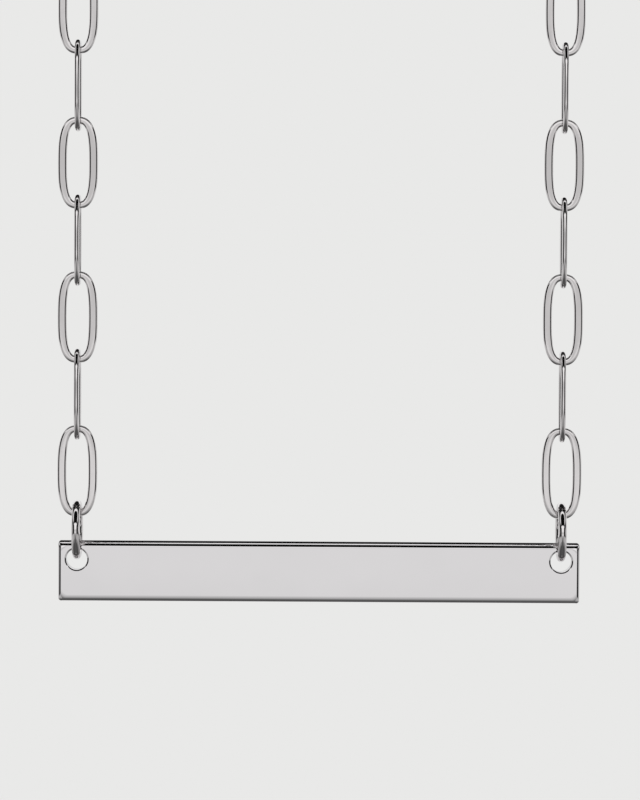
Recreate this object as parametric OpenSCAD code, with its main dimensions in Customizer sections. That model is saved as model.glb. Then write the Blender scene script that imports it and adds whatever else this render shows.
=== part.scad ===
// Bar pendant on a long-link chain, shown hanging. Millimetres, +Z up, the bar's length along X and its
// faces along Y. The origin is the inside of the loop at its top, under the clasp, where a neck or a peg
// carries it.

/* [Bar] */
// Length of the bar, end to end
bar_length = 35; // [28:0.5:48]
// Height of the bar, top edge to bottom edge
bar_height = 4.05; // [3.4:0.05:8]
// Thickness of the bar, front face to back face
bar_thickness = 1; // [0.8:0.05:1.4]
// Radius that polishing leaves along the edges of both faces
edge_radius = 0.36; // [0.1:0.02:0.38]
// Radius of the four corners, seen from the front
corner_radius = 0.25; // [0.1:0.05:1]
// Diameter of the two holes
hole_d = 1.5; // [1.2:0.05:1.8]
// Metal left between a hole and the edges beside it
hole_web = 0.5; // [0.4:0.05:0.8]

/* [Jump rings] */
// Outer diameter of a jump ring
ring_od = 4; // [3.8:0.05:5]
// Diameter of a jump ring's wire
ring_wire = 0.56; // [0.45:0.01:0.65]

/* [Chain] */
// Length of the necklace, measured round the whole loop
necklace_length = 457; // [406:1:610]
// Outer length of a link
link_length = 6.4; // [5.4:0.01:8]
// Outer width of a link
link_width = 2.7; // [2.4:0.05:3.4]
// Width of a link's wire, seen from the link's front
link_wire = 0.55; // [0.4:0.01:0.6]
// Thickness that the link is rolled flat to
link_thickness = 0.4; // [0.3:0.01:0.4]
// Play between two pieces that hook into each other
hook_play = 0.14; // [0.13:0.01:0.2]

/* [Clasp] */
// Outer diameter of the clasp's ring
clasp_od = 6; // [5.2:0.1:8]
// Diameter of the tube that the clasp's ring is bent from
clasp_tube = 1.2; // [1:0.05:1.4]
// Outer diameter of the eye beside it
eye_od = 2.6; // [2.3:0.1:3.2]
// Diameter of the eye's wire
eye_wire = 0.6; // [0.5:0.05:0.65]
// Depth that the eye is let into the tube, where it is soldered
eye_sink = 0.4; // [0.3:0.05:0.5]

/* [Hidden] */
$fn = 48;

polished_silver = [0.85, 0.85, 0.86];
drawn_silver = [0.78, 0.78, 0.80];

// Distance of the strands from the middle of the bar: each hangs over a hole
strand_x = bar_length / 2 - hole_web - hole_d / 2;

// What one piece adds to the chain, from the middle of its play at one end to the middle of its play at the
// other
link_pitch = link_length - 2 * link_wire - hook_play;
ring_inner_r = ring_od / 2 - ring_wire;
ring_pitch = 2 * ring_inner_r - hook_play;
clasp_inner_r = clasp_od / 2 - clasp_tube;
eye_inner_r = eye_od / 2 - eye_wire;
eye_reach = (clasp_od + eye_od) / 2 - eye_sink;
clasp_pitch = clasp_inner_r + eye_reach + eye_inner_r - hook_play;

// Links in each half of the arch: what a quarter circle between the strands has room for
arch_room = (PI * strand_x - clasp_pitch) / 2 - ring_pitch;
arch_links = round(arch_room / link_pitch);

// Links on each side: what is left of the length. Their number is odd, because the jump rings at both ends
// lie square to the first and to the last link.
side_room = (necklace_length - 2 * strand_x - clasp_pitch) / 2 - 2 * ring_pitch;
side_links = 2 * round((side_room / link_pitch - 1) / 2) + 1;
strand_links = side_links - arch_links;

// Turn from each piece of the arch to the next at which the arch just spans the strands, found by halving
function sum(values) = values * [for (value = values) 1];
function half_span(turn) =
    clasp_pitch / 2 + ring_pitch * cos(turn)
    + link_pitch * sum([for (step = [2 : arch_links + 1]) cos(step * turn)]);
function turn_between(low, high, tries) =
    let (middle = (low + high) / 2)
    tries == 0 ? middle
    : half_span(middle) > strand_x ? turn_between(middle, high, tries - 1)
    : turn_between(low, middle, tries - 1);
arch_turn = turn_between(0, 90 / (arch_links + 1), 40);

// Lean of a piece from upright, by its number up one side: the links, then the end ring
function lean(index) =
    index <= strand_links ? 0 : 90 - (side_links + 2 - index) * arch_turn;

// Heights, from the clasp down to the bar
clasp_z = clasp_od / 2;
arch_rise =
    ring_pitch * sin(arch_turn)
    + link_pitch * sum([for (step = [2 : arch_links + 1]) sin(step * arch_turn)]);
strand_foot_z = clasp_z - arch_rise - strand_links * link_pitch;
ring_z = strand_foot_z - (ring_inner_r - hook_play / 2);
hole_top_z = ring_z - sqrt(pow(ring_inner_r, 2) - pow(bar_thickness / 2, 2)) + hook_play;
hole_z = hole_top_z - hole_d / 2;
bar_z = hole_top_z + hole_web - bar_height / 2;

// Where a link hands over to the next piece up the right side, as [x, z]
function seat(index) =
    index == 0 ? [strand_x, strand_foot_z]
    : seat(index - 1) + link_pitch * [-sin(lean(index)), cos(lean(index))];

// A ring of round wire in the XZ plane
module wire_ring(outer_d, wire_d) {
    rotate([90, 0, 0])
        rotate_extrude()
            translate([(outer_d - wire_d) / 2, 0])
                circle(d = wire_d);
}

// A jump ring, edge-on to the front
module jump_ring() {
    rotate([0, 0, 90]) wire_ring(ring_od, ring_wire);
}

// Section of a link's wire: round wire with a flat on the link's front and on its back
module flattened_wire() {
    intersection() {
        circle(d = link_wire);
        square([link_wire, link_thickness], center = true);
    }
}

// One link, upright and facing the front: two straight sides and two half-round ends
module link() {
    bend_r = (link_width - link_wire) / 2;
    side = link_length - link_width;
    for (end = [0, 180])
        rotate([0, end, 0])
            translate([0, 0, side / 2])
                rotate([90, 0, 0])
                    rotate_extrude(angle = 180)
                        translate([bend_r, 0])
                            flattened_wire();
    for (x = [-bend_r, bend_r])
        translate([x, 0, 0])
            linear_extrude(height = side, center = true)
                flattened_wire();
}

// A rectangle with rounded corners
module rounded_rectangle(size, radius) {
    difference() {
        square(size, center = true);
        for (x = [0, 1], y = [0, 1])
            mirror([x, 0])
                mirror([0, y])
                    translate([size.x / 2 - radius, size.y / 2 - radius])
                        difference() {
                            square(2 * radius);
                            circle(r = radius);
                        }
    }
}

// The bar before drilling: what its outlines from the front, from the end and from above have in common
module bar_blank() {
    intersection() {
        rotate([90, 0, 0])
            linear_extrude(height = 2 * bar_thickness, center = true)
                rounded_rectangle([bar_length, bar_height], corner_radius);
        rotate([90, 0, 90])
            linear_extrude(height = 2 * bar_length, center = true)
                rounded_rectangle([bar_thickness, bar_height], edge_radius);
        linear_extrude(height = 2 * bar_height, center = true)
            rounded_rectangle([bar_length, bar_thickness], edge_radius);
    }
}

module bar() {
    color(polished_silver)
        difference() {
            translate([0, 0, bar_z]) bar_blank();
            for (x = [-strand_x, strand_x])
                translate([x, 0, hole_z])
                    rotate([90, 0, 0])
                        cylinder(d = hole_d, h = 2 * bar_thickness, center = true);
        }
}

module ring_right() {
    color(drawn_silver)
        translate([strand_x, 0, ring_z])
            jump_ring();
}

module ring_left() {
    mirror([1, 0, 0]) ring_right();
}

// The links up the right side, each square to the one before
module chain_right() {
    color(drawn_silver)
        for (index = [1 : side_links]) {
            middle = (seat(index - 1) + seat(index)) / 2;
            translate([middle.x, 0, middle.y])
                rotate([0, -lean(index), 0])
                    rotate([0, 0, index % 2 == 1 ? 0 : 90])
                        link();
        }
}

module chain_left() {
    mirror([1, 0, 0]) chain_right();
}

module end_ring_right() {
    turned = lean(side_links + 1);
    middle = seat(side_links) + ring_pitch / 2 * [-sin(turned), cos(turned)];
    color(drawn_silver)
        translate([middle.x, 0, middle.y])
            rotate([0, -turned, 0])
                jump_ring();
}

module end_ring_left() {
    mirror([1, 0, 0]) end_ring_right();
}

// A plain ring clasp: its ring to the right of the middle, and the eye soldered on to the left
module clasp() {
    ring_x = clasp_pitch / 2 - clasp_inner_r + hook_play / 2;
    color(polished_silver)
        translate([ring_x, 0, clasp_z]) {
            wire_ring(clasp_od, clasp_tube);
            translate([-eye_reach, 0, 0]) wire_ring(eye_od, eye_wire);
        }
}

bar();
ring_left();
ring_right();
chain_left();
chain_right();
end_ring_left();
end_ring_right();
clasp();
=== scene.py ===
"""Looks of the bar pendant necklace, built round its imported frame: metres, +Z up, front towards -Y."""
import math

import bmesh
import bpy
import numpy as np
from mathutils import Matrix, Vector


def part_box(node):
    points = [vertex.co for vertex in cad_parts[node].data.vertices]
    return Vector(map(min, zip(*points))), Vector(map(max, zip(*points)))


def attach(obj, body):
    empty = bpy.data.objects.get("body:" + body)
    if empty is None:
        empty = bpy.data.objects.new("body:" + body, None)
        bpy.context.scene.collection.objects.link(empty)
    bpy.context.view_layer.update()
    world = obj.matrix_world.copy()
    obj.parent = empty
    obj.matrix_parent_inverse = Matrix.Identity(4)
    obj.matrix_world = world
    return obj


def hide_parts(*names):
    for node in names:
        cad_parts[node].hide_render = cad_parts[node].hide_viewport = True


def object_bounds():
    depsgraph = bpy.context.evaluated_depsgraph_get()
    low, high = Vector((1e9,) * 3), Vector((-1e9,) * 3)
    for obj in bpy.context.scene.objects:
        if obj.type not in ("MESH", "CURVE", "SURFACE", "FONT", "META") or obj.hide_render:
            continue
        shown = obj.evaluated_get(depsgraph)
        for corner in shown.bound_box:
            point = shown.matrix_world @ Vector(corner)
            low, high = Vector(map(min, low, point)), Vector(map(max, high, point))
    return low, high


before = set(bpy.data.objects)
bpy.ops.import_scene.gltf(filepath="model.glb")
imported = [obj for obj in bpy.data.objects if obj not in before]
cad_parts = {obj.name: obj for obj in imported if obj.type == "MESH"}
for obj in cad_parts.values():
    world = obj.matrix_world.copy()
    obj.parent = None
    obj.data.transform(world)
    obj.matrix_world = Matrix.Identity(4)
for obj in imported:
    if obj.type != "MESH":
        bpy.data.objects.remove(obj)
bpy.context.view_layer.update()
cad_box = [[float(v) for v in corner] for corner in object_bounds()]


# Links of both strands. Each is a piece of wire bent to a long loop and soldered shut, and then rolled a
# little flat, so that its front and back are only slightly crowned. The sides bow out a little between the
# blunt ends, and the wire is thinner there, where the links pull and rub on each other.
MM = 0.001


def linear(code):
    """Turns an sRGB hex colour into linear light."""
    parts = [int(code[i : i + 2], 16) / 255 for i in (0, 2, 4)]
    return [p / 12.92 if p <= 0.04045 else ((p + 0.055) / 1.055) ** 2.4 for p in parts] + [1.0]


def add(tree, kind, inputs=(), **settings):
    """Adds a node to a tree. Each of its inputs gets a value, or a link from another node's output."""
    node = tree.nodes.new(kind)
    for name, value in settings.items():
        setattr(node, name, value)
    for name, value in dict(inputs).items():
        if isinstance(value, bpy.types.NodeSocket):
            tree.links.new(value, node.inputs[name])
        else:
            node.inputs[name].default_value = value
    return node


def silver(name, pale, dull, smooth, rough, patch, dent, depth):
    """Sterling silver, whose colour and shine vary in soft patches and whose surface has shallow dents."""
    material = bpy.data.materials.new(name)
    material.use_nodes = True
    tree = material.node_tree
    tree.nodes.clear()
    place = add(tree, "ShaderNodeTexCoord").outputs["Object"]
    patches = add(
        tree, "ShaderNodeTexNoise",
        {"Vector": place, "Scale": 1 / patch, "Detail": 3.0, "Roughness": 0.55},
    ).outputs[0]
    colour = add(
        tree, "ShaderNodeMix", {"Factor": patches, 6: linear(dull), 7: linear(pale)}, data_type="RGBA"
    ).outputs[2]
    shine = add(
        tree, "ShaderNodeMapRange",
        {"Value": patches, "From Min": 0.3, "From Max": 0.7, "To Min": smooth, "To Max": rough},
    ).outputs[0]
    dents = add(
        tree, "ShaderNodeTexNoise",
        {"Vector": place, "Scale": 1 / dent, "Detail": 2.0, "Roughness": 0.5},
    ).outputs[0]
    relief = add(tree, "ShaderNodeBump", {"Height": dents, "Strength": 1.0, "Distance": depth}).outputs[0]
    metal = add(
        tree, "ShaderNodeBsdfPrincipled",
        {"Base Color": colour, "Metallic": 1.0, "Roughness": shine, "Normal": relief},
    )
    add(tree, "ShaderNodeOutputMaterial", {"Surface": metal.outputs[0]})
    return material


# The wire is drawn sterling silver, tumbled with steel shot. That gives it a soft shine: sharp dark and
# light lines along the wire, a little broken up by the shallow dents of the shot.
tumbled_wire = silver(
    "tumbled_silver_wire", pale="E9E6E6", dull="DFDCDC", smooth=0.03, rough=0.08,
    patch=1.5 * MM, dent=0.35 * MM, depth=0.001 * MM,
)

link_sizes = {
    "Length": 6.14 * MM,
    "Width": 2.68 * MM,
    "Side wire": 0.6 * MM,
    "Tip wire": 0.48 * MM,
    "Thickness": 0.35 * MM,
    "Bluntness": 2.85,
}
line_points = 56
section_points = 30


def started(name, sizes):
    """A new geometry tree with an input for each size, and the outputs of its input node."""
    tree = bpy.data.node_groups.new(name, "GeometryNodeTree")
    tree.interface.new_socket("Places", in_out="INPUT", socket_type="NodeSocketGeometry")
    for size in sizes:
        tree.interface.new_socket(size, in_out="INPUT", socket_type="NodeSocketFloat")
    tree.interface.new_socket("Finish", in_out="INPUT", socket_type="NodeSocketMaterial")
    tree.interface.new_socket("Pieces", in_out="OUTPUT", socket_type="NodeSocketGeometry")
    return tree, add(tree, "NodeGroupInput").outputs


def ended(tree, given, wire):
    """Ends a tree: the smooth wire goes to each place, turned as the place says, and gets its finish."""
    wire = add(tree, "GeometryNodeSetShadeSmooth", {"Geometry": wire}).outputs[0]
    turn = add(tree, "GeometryNodeInputNamedAttribute", {"Name": "turn"}, data_type="QUATERNION").outputs[0]
    pieces = add(
        tree, "GeometryNodeInstanceOnPoints",
        {"Points": given["Places"], "Instance": wire, "Rotation": turn},
    ).outputs[0]
    pieces = add(tree, "GeometryNodeRealizeInstances", {"Geometry": pieces}).outputs[0]
    pieces = add(
        tree, "GeometryNodeSetMaterial", {"Geometry": pieces, "Material": given["Finish"]}
    ).outputs[0]
    add(tree, "NodeGroupOutput", {"Pieces": pieces})


tree, given = started("hooked_links", link_sizes)

# The middle line of the wire, from the outer sizes of the link: a circle pulled out to an oblong, whose
# bluntness lies between an ellipse (2) and a rectangle (a high number). The spot, here and further down, is
# where each point lies before it is moved.
spot = add(tree, "ShaderNodeSeparateXYZ", {0: add(tree, "GeometryNodeInputPosition").outputs[0]}).outputs
share = add(tree, "ShaderNodeMath", {0: 2.0, 1: given["Bluntness"]}, operation="DIVIDE").outputs[0]
line_sizes, moved = [], []
for axis, outer, wire in ((0, "Width", "Side wire"), (1, "Length", "Tip wire")):
    size = add(
        tree, "ShaderNodeMath", {0: given[outer], 1: given[wire]}, operation="SUBTRACT"
    ).outputs[0]
    half = add(tree, "ShaderNodeMath", {0: size, 1: 2.0}, operation="DIVIDE").outputs[0]
    side = add(tree, "ShaderNodeMath", {0: spot[axis]}, operation="SIGN").outputs[0]
    reach = add(tree, "ShaderNodeMath", {0: spot[axis]}, operation="ABSOLUTE").outputs[0]
    reach = add(tree, "ShaderNodeMath", {0: reach, 1: share}, operation="POWER").outputs[0]
    reach = add(tree, "ShaderNodeMath", {0: reach, 1: half}, operation="MULTIPLY").outputs[0]
    moved.append(add(tree, "ShaderNodeMath", {0: reach, 1: side}, operation="MULTIPLY").outputs[0])
    line_sizes.append(size)
place = add(tree, "ShaderNodeCombineXYZ", {"X": moved[0], "Y": moved[1]}).outputs[0]
line = add(
    tree, "GeometryNodeCurvePrimitiveCircle", {"Resolution": line_points, "Radius": 1.0}
).outputs[0]
line = add(tree, "GeometryNodeSetPosition", {"Geometry": line, "Position": place}).outputs[0]
line = add(tree, "GeometryNodeSetCurveNormal", {"Curve": line}, mode="Z_UP").outputs[0]

# The wire narrows from half way between the link's middle and its tip on. Both values are squares of the
# distance from the middle, as a share of the line's length.
narrows_from = 0.06
tip_at = 0.25
along = add(tree, "ShaderNodeMath", {0: spot[1], 1: line_sizes[1]}, operation="DIVIDE").outputs[0]
nearness = add(tree, "ShaderNodeMath", {0: along, 1: along}, operation="MULTIPLY").outputs[0]
tip_share = add(
    tree, "ShaderNodeMath", {0: given["Tip wire"], 1: given["Side wire"]}, operation="DIVIDE"
).outputs[0]
narrowing = add(
    tree, "ShaderNodeMapRange",
    {
        "Value": nearness, "From Min": narrows_from, "From Max": tip_at,
        "To Min": 1.0, "To Max": tip_share,
    },
).outputs[0]
kept = add(tree, "GeometryNodeCaptureAttribute", {"Geometry": line}, domain="POINT")
kept.capture_items.new("FLOAT", "Narrowing")
tree.links.new(narrowing, kept.inputs["Narrowing"])

# The section of the rolled wire: flat in front and behind, with half-round edges
edge = add(tree, "ShaderNodeMath", {0: given["Thickness"], 1: 2.0}, operation="DIVIDE").outputs[0]
flat = add(
    tree, "ShaderNodeMath", {0: given["Side wire"], 1: given["Thickness"]}, operation="SUBTRACT"
).outputs[0]
flat = add(tree, "ShaderNodeMath", {0: flat, 1: 2.0}, operation="DIVIDE").outputs[0]
side = add(tree, "ShaderNodeMath", {0: spot[0]}, operation="SIGN").outputs[0]
apart = add(tree, "ShaderNodeMath", {0: side, 1: flat}, operation="MULTIPLY").outputs[0]
section = add(
    tree, "GeometryNodeCurvePrimitiveCircle", {"Resolution": section_points, "Radius": edge}
).outputs[0]
section = add(
    tree, "GeometryNodeSetPosition",
    {"Geometry": section, "Offset": add(tree, "ShaderNodeCombineXYZ", {"X": apart}).outputs[0]},
).outputs[0]

# It sweeps along the line and narrows towards the tips, but keeps its thickness
wire = add(
    tree, "GeometryNodeCurveToMesh",
    {"Curve": kept.outputs["Geometry"], "Profile Curve": section, "Scale": kept.outputs["Narrowing"]},
).outputs[0]
rise = add(
    tree, "ShaderNodeMath", {0: spot[2], 1: kept.outputs["Narrowing"]}, operation="DIVIDE"
).outputs[0]
place = add(tree, "ShaderNodeCombineXYZ", {"X": spot[0], "Y": spot[1], "Z": rise}).outputs[0]
wire = add(tree, "GeometryNodeSetPosition", {"Geometry": wire, "Position": place}).outputs[0]
ended(tree, given, wire)


# Corners of the CAD triangles that are closer than this are one corner
weld = 0.001 * MM


def islands(node):
    """The loose solids of a CAD node: the centre of each, and its longest and its middle axis."""
    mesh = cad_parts[node].data
    points = np.empty(3 * len(mesh.vertices))
    mesh.vertices.foreach_get("co", points)
    points = points.reshape(-1, 3)
    work = bmesh.new()
    work.from_mesh(mesh)
    bmesh.ops.remove_doubles(work, verts=work.verts, dist=weld)
    found, seen = [], set()
    for start in work.faces:
        if start.index in seen:
            continue
        seen.add(start.index)
        group, waiting = [], [start]
        while waiting:
            face = waiting.pop()
            group.append(face)
            for edge in face.edges:
                for other in edge.link_faces:
                    if other.index not in seen:
                        seen.add(other.index)
                        waiting.append(other)
        middles = np.array([face.calc_center_median() for face in group])
        areas = np.array([face.calc_area() for face in group])
        centre = (middles * areas[:, None]).sum(0) / areas.sum()
        spread = middles - centre
        _, axes = np.linalg.eigh((spread * areas[:, None]).T @ spread)
        found.append((centre, axes[:, 2], axes[:, 1]))
    work.free()
    return found


def placed(name, node):
    """One point for each loose solid of a CAD node, turned with its length along Y and its face along Z."""
    points, turns = [], []
    for centre, long, wide in islands(node):
        turn = Matrix((wide, long, np.cross(wide, long))).transposed().to_quaternion()
        points.append(centre)
        turns.append(tuple(turn))
    mesh = bpy.data.meshes.new(name)
    mesh.from_pydata(points, [], [])
    attribute = mesh.attributes.new("turn", "QUATERNION", "POINT")
    attribute.data.foreach_set("value", np.array(turns, np.float32).ravel())
    piece = bpy.data.objects.new(name, mesh)
    bpy.context.scene.collection.objects.link(piece)
    return piece


def made(piece, tree, sizes, finish):
    """Runs a geometry tree on a piece and leaves the result as its plain mesh."""
    modifier = piece.modifiers.new("shape", "NODES")
    modifier.node_group = tree
    for socket in tree.interface.items_tree:
        if socket.in_out == "INPUT" and socket.name in sizes:
            modifier[socket.identifier] = sizes[socket.name]
        elif socket.name == "Finish":
            modifier[socket.identifier] = finish
    bpy.context.view_layer.update()
    shaped = piece.evaluated_get(bpy.context.evaluated_depsgraph_get())
    mesh = bpy.data.meshes.new_from_object(shaped)
    piece.modifiers.remove(modifier)
    piece.data = mesh
    mesh.name = piece.name
    return piece


def settled(piece, body, node):
    """Turns a finished piece's faces outwards and hands it to the frame."""
    work = bmesh.new()
    work.from_mesh(piece.data)
    if work.calc_volume(signed=True) < 0:
        bmesh.ops.reverse_faces(work, faces=work.faces)
    work.to_mesh(piece.data)
    work.free()
    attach(piece, body)
    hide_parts(node)


for side in ("left", "right"):
    strand = made(placed(f"links_{side}", f"chain_{side}"), tree, link_sizes, tumbled_wire)
    settled(strand, "necklace", f"chain_{side}")


# Jump rings: one through each hole of the bar, and one at the far end of each strand. They are cut from a
# coil of round wire, closed with their ends meeting, soldered and tumbled with the chain.
ring_sizes = {"Ring": 4.0 * MM, "Wire": 0.56 * MM}
ring_points = 96
wire_points = 32
tree, given = started("jump_ring", ring_sizes)
across = add(
    tree, "ShaderNodeMath", {0: given["Ring"], 1: given["Wire"]}, operation="SUBTRACT"
).outputs[0]
circles = []
for width, points in ((across, ring_points), (given["Wire"], wire_points)):
    radius = add(tree, "ShaderNodeMath", {0: width, 1: 2.0}, operation="DIVIDE").outputs[0]
    circles.append(
        add(tree, "GeometryNodeCurvePrimitiveCircle", {"Resolution": points, "Radius": radius}).outputs[0]
    )
line, section = circles
ring = add(tree, "GeometryNodeCurveToMesh", {"Curve": line, "Profile Curve": section}).outputs[0]
ended(tree, given, ring)

for place in ("ring_left", "ring_right", "end_ring_left", "end_ring_right"):
    jump_ring = made(placed(f"jump_{place}", place), tree, ring_sizes, tumbled_wire)
    settled(jump_ring, "necklace", place)


# Clasp: a plain ring of silver tube, with the small eye that carries the left end ring soldered on. The
# photo doesn't show it, so it keeps its plain solid.

# The tube is drawn silver, polished by hand after soldering. That leaves it mirrors a little less sharp
# than the wire's, with soft, barely seen waves.
polished_tube = silver(
    "polished_silver_tube", pale="E9E8E9", dull="DEDDDE", smooth=0.05, rough=0.1,
    patch=2.0 * MM, dent=0.5 * MM, depth=0.001 * MM,
)
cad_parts["clasp"].material_slots[0].material = polished_tube


# Bar: a strip of silver sheet, sawn to length, drilled near its upper corners, and polished on a soft wheel.
# The wheel rounds its edges over, the upper ones to a slanting land, and the drill holes are deburred.

# The strip is rolled silver sheet, buffed to a mirror. That gives it an even pale face with very faint,
# wide waves, and thin sharp lines of light and dark along its edges.
polished_sheet = silver(
    "polished_silver_sheet", pale="E9E7E8", dull="E2E0E1", smooth=0.025, rough=0.05,
    patch=6.0 * MM, dent=4.0 * MM, depth=0.004 * MM,
)
bar_low, bar_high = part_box("bar")
bar_centre = (bar_low + bar_high) / 2
bar_length, bar_thickness, bar_height = bar_high - bar_low
hole_across = 1.42 * MM
hole_inset = 1.25 * MM
hole_x = bar_length / 2 - hole_inset
hole_z = bar_height / 2 - hole_inset

# The corners' radius at the side of the bar, and how much it grows for each millimetre that the ends
# curve in on the way to the faces
corner = 0.2 * MM
corner_growth = 0.9

# Width of the narrow flat margin inside each edge, which keeps the shading of the face flat
margin_width = 0.012 * MM

# Each edge from the face round to the side, as arcs: up to how many degrees, and at what radius
upper_edge = [(39, 0.207 * MM), (58.5, 1.03 * MM), (90, 0.27 * MM)]
lower_edge = [(4.5, 2.2 * MM), (50, 0.27 * MM), (90, 0.12 * MM)]
end_edge = [(90, 0.25 * MM)]
hole_edge = [(16, 0.012 * MM), (34, 0.34 * MM), (90, 0.02 * MM)]

# Points worked out for each degree of an edge, and which of them the mesh gets: on the outer edges one
# every four and a half degrees, but none closer than a least step, and on the holes' rims a few chosen ones
per_degree = 10
every = 45
least_step = 0.0015 * MM
rim_degrees = (0, 10, 20, 32, 44, 66, 90)


def edge_curve(arcs):
    """Depths behind the face and insets from the side, point by point along an edge."""
    turns = (np.arange(90 * per_degree) + 0.5) / per_degree
    radii = np.array([next(radius for upto, radius in arcs if turn < upto) for turn in turns])
    turns = np.radians(turns)
    step = np.radians(1 / per_degree)
    depth = np.concatenate(([0.0], np.cumsum(radii * np.sin(turns) * step)))
    rise = np.concatenate(([0.0], np.cumsum(radii * np.cos(turns) * step)))
    return depth, rise[-1] - rise


def inset_at(curve, depth):
    """How far an edge is in from the side, at some depth behind the face."""
    return float(np.interp(depth, *curve))


def outline(left, right, low, high, radius, steps=8):
    """Corner points of a rectangle with rounded corners, anticlockwise from the lower right."""
    points = []
    for quarter, (x, z) in enumerate([(right, low), (right, high), (left, high), (left, low)]):
        centre_x = x - radius if quarter in (0, 1) else x + radius
        centre_z = z + radius if quarter in (0, 3) else z - radius
        for step in range(steps + 1):
            angle = math.radians(-90 + 90 * quarter + 90 * step / steps)
            points.append((centre_x + radius * math.cos(angle), centre_z + radius * math.sin(angle)))
    return points


def round_outline(x, z, radius, steps=64):
    """Points of a circle, anticlockwise."""
    turns = [2 * math.pi * step / steps for step in range(steps)]
    return [(x + radius * math.cos(turn), z + radius * math.sin(turn)) for turn in turns]


def bridge(work, first, second):
    """Joins two rings of points with faces."""
    for i in range(len(first)):
        j = (i + 1) % len(first)
        work.faces.new((first[i], first[j], second[j], second[i])).smooth = True


upper, lower, ends, rim = (edge_curve(arcs) for arcs in (upper_edge, lower_edge, end_edge, hole_edge))

# How deep behind a face each ring of the outer edge lies
depths = [0.0]
for depth in sorted(depth for curve in (upper, lower, ends) for depth in curve[0][::every]):
    if depth - depths[-1] > least_step:
        depths.append(float(depth))

# Both halves of the outer edge, ring by ring from the margin of a face to the middle of the side
work = bmesh.new()
face_rings = {}
for front in (-1, 1):
    rings = []
    for margin, depth in [(margin_width, 0.0)] + [(0.0, depth) for depth in depths]:
        end_inset = inset_at(ends, depth)
        side = bar_length / 2 - end_inset - margin
        top = bar_height / 2 - inset_at(upper, depth) - margin
        foot = bar_height / 2 - inset_at(lower, depth) - margin
        y = front * (bar_thickness / 2 - depth)
        points = outline(-side, side, -foot, top, corner + corner_growth * end_inset)
        rings.append([work.verts.new((x, y, z)) for x, z in points])
    for inner, outer in zip(rings, rings[1:]):
        bridge(work, inner, outer)
    face_rings[front] = rings
bridge(work, face_rings[-1][-1], face_rings[1][-1])

# The holes, in the same way from the margins round their rims to their straight walls
hole_rings = {-1: [], 1: []}
chosen = [per_degree * degrees for degrees in rim_degrees]
levels = [(rim[1][0] + margin_width, 0.0)] + [(rim[1][i], rim[0][i]) for i in chosen]
for x in (-hole_x, hole_x):
    walls = {}
    for front in (-1, 1):
        rings = []
        for spread, depth in levels:
            y = front * (bar_thickness / 2 - depth)
            points = round_outline(x, hole_z, hole_across / 2 + spread)
            rings.append([work.verts.new((px, y, pz)) for px, pz in points])
        for outer, inner in zip(rings, rings[1:]):
            bridge(work, outer, inner)
        hole_rings[front].append(rings[0])
        walls[front] = rings[-1]
    bridge(work, walls[-1], walls[1])

# The flat of each face, between all the margins
for front in (-1, 1):
    edges = []
    for ring in [face_rings[front][0], *hole_rings[front]]:
        edges += [work.edges.get((ring[i - 1], ring[i])) for i in range(len(ring))]
    filled = bmesh.ops.triangle_fill(work, use_beauty=True, use_dissolve=False, edges=edges)
    for item in filled["geom"]:
        if isinstance(item, bmesh.types.BMFace):
            item.smooth = True
bmesh.ops.recalc_face_normals(work, faces=work.faces)
bmesh.ops.translate(work, verts=work.verts, vec=bar_centre)
bar_mesh = bpy.data.meshes.new("polished_bar")
work.to_mesh(bar_mesh)
work.free()
bar_mesh.materials.append(polished_sheet)
bar = bpy.data.objects.new("polished_bar", bar_mesh)
bpy.context.scene.collection.objects.link(bar)
settled(bar, "pendant", "bar")


# Studio: a plain pale floor and a plain pale surround, which are all that the lens sees. The silver mirrors
# a white tent with light and dark boards in it. They give each wire and edge its lines, and they leave each
# face light from the front, the sides and behind.
pale = linear("E9E9E8")
floor_drop = 60 * MM
floor_half = 30.0
floor_z = cad_box[0][2] - floor_drop
floor_corners = [(-1, -1), (1, -1), (1, 1), (-1, 1)]
floor_mesh = bpy.data.meshes.new("floor")
floor_mesh.from_pydata(
    [(x * floor_half, y * floor_half, floor_z) for x, y in floor_corners], [], [(0, 1, 2, 3)]
)
floor = bpy.data.objects.new("floor", floor_mesh)
bpy.context.scene.collection.objects.link(floor)
floor_paint = bpy.data.materials.new("matt_pale_paint")
floor_paint.use_nodes = True
tree = floor_paint.node_tree
tree.nodes.clear()
matt = add(tree, "ShaderNodeBsdfDiffuse", {"Color": pale})
add(tree, "ShaderNodeOutputMaterial", {"Surface": matt.outputs[0]})
floor_mesh.materials.append(floor_paint)
floor.visible_glossy = False

# What the silver mirrors, as brightness by degrees. The boards go round in the middle plane, from the front
# (0) over the top (90) to the back (180), or under the bar (-90). A white board hangs in front and one
# behind, each with a black one above it, a strip light is overhead, and below the room is dark.
boards = [
    (-180, 0.7), (-152, 0.75), (-142, 0.95), (-122, 0.85), (-108, 0.3), (-96, 0.09), (-60, 0.10),
    (-45, 0.11), (-35, 0.13), (-27, 0.19), (-19, 0.30), (-11, 0.52), (-9, 0.66), (-7, 0.79), (-5.7, 0.86),
    (-4.2, 0.84), (-2, 0.68), (2, 0.64), (8, 1.0), (29, 1.05), (32, 0.004), (82, 0.004), (84, 1.1),
    (93, 1.1), (95, 0.01), (146, 0.01), (156, 1.0), (164, 1.1), (172, 0.75), (180, 0.7),
]

# Beside the boards it goes by height: a dark gap from the height of the lens up, between light sheets
beside = [
    (-90, 0.08), (-46, 0.08), (-41, 0.25), (-33, 0.27), (-29, 0.5), (-13, 0.5), (-9, 0.02), (22, 0.02),
    (28, 0.85), (39, 0.85), (46, 0.65), (90, 0.65),
]

# Where the boards end and where the side walls start, by degrees off the middle plane, and how much wider
# or narrower the boards are high up and low down
off_boards = [(0, 0.0), (27, 0.0), (33, 1.0), (90, 1.0)]
on_walls = [(0, 0.0), (78, 0.0), (87, 1.0), (90, 1.0)]
wider_high = math.radians(16)
narrower_low_front = math.radians(9)
narrower_low_back = math.radians(21)

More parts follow.
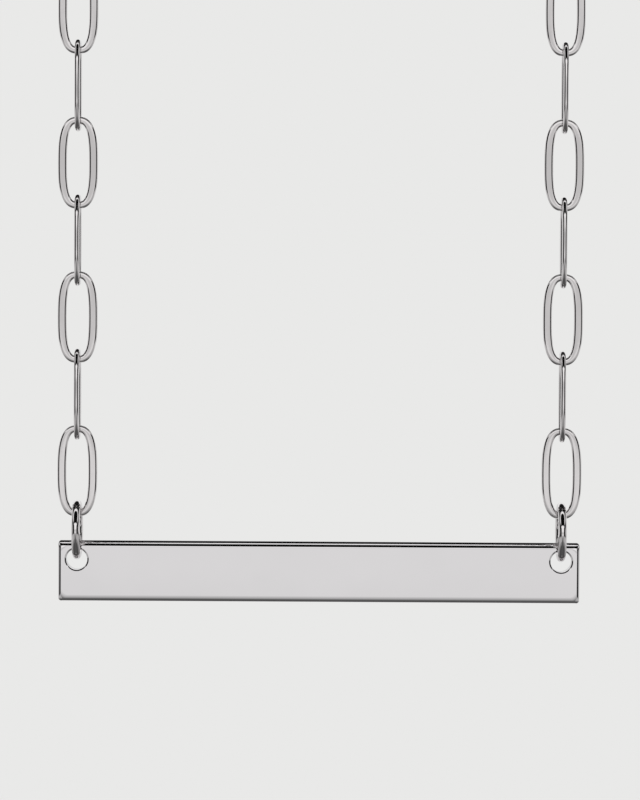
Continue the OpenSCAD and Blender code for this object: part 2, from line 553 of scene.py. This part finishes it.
# The left wall is further off than the right one, and so darker, and both walls end below in the dark
left_wall, right_wall, wall_foot = 0.55, 1.0, 0.08

world = bpy.data.worlds.new("white_tent")
bpy.context.scene.world = world
world.use_nodes = True
world.cycles.sampling_method = "NONE"  # its light differs by the kind of ray, so the rays alone find it
tree = world.node_tree
tree.nodes.clear()
direction = add(tree, "ShaderNodeTexCoord").outputs["Generated"]
aim = add(tree, "ShaderNodeSeparateXYZ", {0: direction}).outputs
toward = add(tree, "ShaderNodeMath", {0: aim[1], 1: -1.0}, operation="MULTIPLY").outputs[0]
round_over = add(tree, "ShaderNodeMath", {0: aim[2], 1: toward}, operation="ARCTAN2").outputs[0]
height = add(tree, "ShaderNodeMath", {0: aim[2]}, operation="ARCSINE").outputs[0]
aside = add(tree, "ShaderNodeMath", {0: aim[0]}, operation="ABSOLUTE").outputs[0]
aside = add(tree, "ShaderNodeMath", {0: aside}, operation="ARCSINE").outputs[0]

# The boards reach further out high up in front, and less far low down. All limits here are lengths along
# the axes of a direction's unit vector.
ahead = add(
    tree, "ShaderNodeMapRange",
    {"Value": toward, "From Min": 0.1, "From Max": 0.2, "To Min": 0.0, "To Max": wider_high},
).outputs[0]
high = add(
    tree, "ShaderNodeMapRange",
    {"Value": aim[2], "From Min": 0.3, "From Max": 0.42, "To Min": 0.0, "To Max": ahead},
).outputs[0]
low = add(tree, "ShaderNodeMapRange", {"Value": aim[2], "From Min": -0.28, "From Max": -0.36}).outputs[0]
behind = add(
    tree, "ShaderNodeMapRange",
    {"Value": toward, "From Min": 0.0, "From Max": -0.3}, interpolation_type="SMOOTHSTEP",
).outputs[0]
narrowed = add(
    tree, "ShaderNodeMapRange",
    {"Value": behind, "To Min": narrower_low_front, "To Max": narrower_low_back},
).outputs[0]
outward = add(
    tree, "ShaderNodeMath", {0: low, 1: narrowed, 2: aside}, operation="MULTIPLY_ADD"
).outputs[0]
outward = add(tree, "ShaderNodeMath", {0: outward, 1: high}, operation="SUBTRACT").outputs[0]
light = []
for angle, stops in ((round_over, boards), (height, beside), (outward, off_boards), (aside, on_walls)):
    least, most = stops[0][0], stops[-1][0]
    share = add(
        tree, "ShaderNodeMapRange",
        {"Value": angle, "From Min": math.radians(least), "From Max": math.radians(most)},
    ).outputs[0]
    scale = add(tree, "ShaderNodeValToRGB", {"Fac": share})
    marks = scale.color_ramp.elements
    while len(marks) < len(stops):
        marks.new(0.5)
    for mark, (degrees, level) in zip(marks, stops):
        mark.position = (degrees - least) / (most - least)
        mark.color = (level, level, level, 1.0)
    light.append(scale.outputs[0])

# Behind, the boards fill the whole width except low down
open_part = add(tree, "ShaderNodeMath", {0: 1.0, 1: behind}, operation="SUBTRACT").outputs[0]
open_part = add(tree, "ShaderNodeMath", {0: open_part, 1: low}, operation="MAXIMUM").outputs[0]
share = add(tree, "ShaderNodeMath", {0: light[2], 1: open_part}, operation="MULTIPLY").outputs[0]
tent = add(
    tree, "ShaderNodeMix", {"Factor": share, 6: light[0], 7: light[1]}, data_type="RGBA"
).outputs[2]

side_light = add(
    tree, "ShaderNodeMapRange",
    {"Value": aim[0], "From Min": -1.0, "From Max": 1.0, "To Min": left_wall, "To Max": right_wall},
).outputs[0]
wall = add(
    tree, "ShaderNodeMapRange",
    {"Value": aim[2], "From Min": -0.35, "From Max": -0.12, "To Min": wall_foot, "To Max": side_light},
).outputs[0]
tent = add(tree, "ShaderNodeMix", {"Factor": light[3], 6: tent, 7: wall}, data_type="RGBA").outputs[2]

# The lens itself sees only the pale surround, and the matt floor is lit evenly
ray = add(tree, "ShaderNodeLightPath").outputs
seen = tent
for kind, colour in (("Is Camera Ray", pale), ("Is Diffuse Ray", (1, 1, 1, 1))):
    seen = add(
        tree, "ShaderNodeMix", {"Factor": ray[kind], 6: seen, 7: colour}, data_type="RGBA"
    ).outputs[2]
surround = add(tree, "ShaderNodeBackground", {"Color": seen, "Strength": 1.0}).outputs[0]
add(tree, "ShaderNodeOutputWorld", {"Surface": surround})


# Camera: a long lens a hand's span in front of the bar, a little above it and rolled by a third of a degree
lens_mm = 157.7
sensor_mm = 36.0
distance = 235 * MM
lift = math.radians(2.9)
roll = math.radians(0.33)
aim_right = 0.012 * MM
aim_above_bar = 11.54 * MM
aim_point = Vector((aim_right, 0.0, bar_centre.z + aim_above_bar))
camera_data = bpy.data.cameras.new("camera")
camera_data.sensor_fit = "VERTICAL"
camera_data.sensor_width = camera_data.sensor_height = sensor_mm
camera_data.lens = lens_mm
camera_data.clip_start = 0.01
camera_data.clip_end = 100.0
camera = bpy.data.objects.new("camera", camera_data)
bpy.context.scene.collection.objects.link(camera)
back = Vector((0.0, -math.cos(lift), math.sin(lift)))
camera.matrix_world = (
    Matrix.Translation(aim_point + distance * back)
    @ Matrix.Rotation(math.pi / 2 - lift, 4, "X")
    @ Matrix.Rotation(roll, 4, "Z")
)
bpy.context.scene.camera = camera
bpy.context.scene.view_settings.view_transform = "Standard"

bpy.context.view_layer.update()
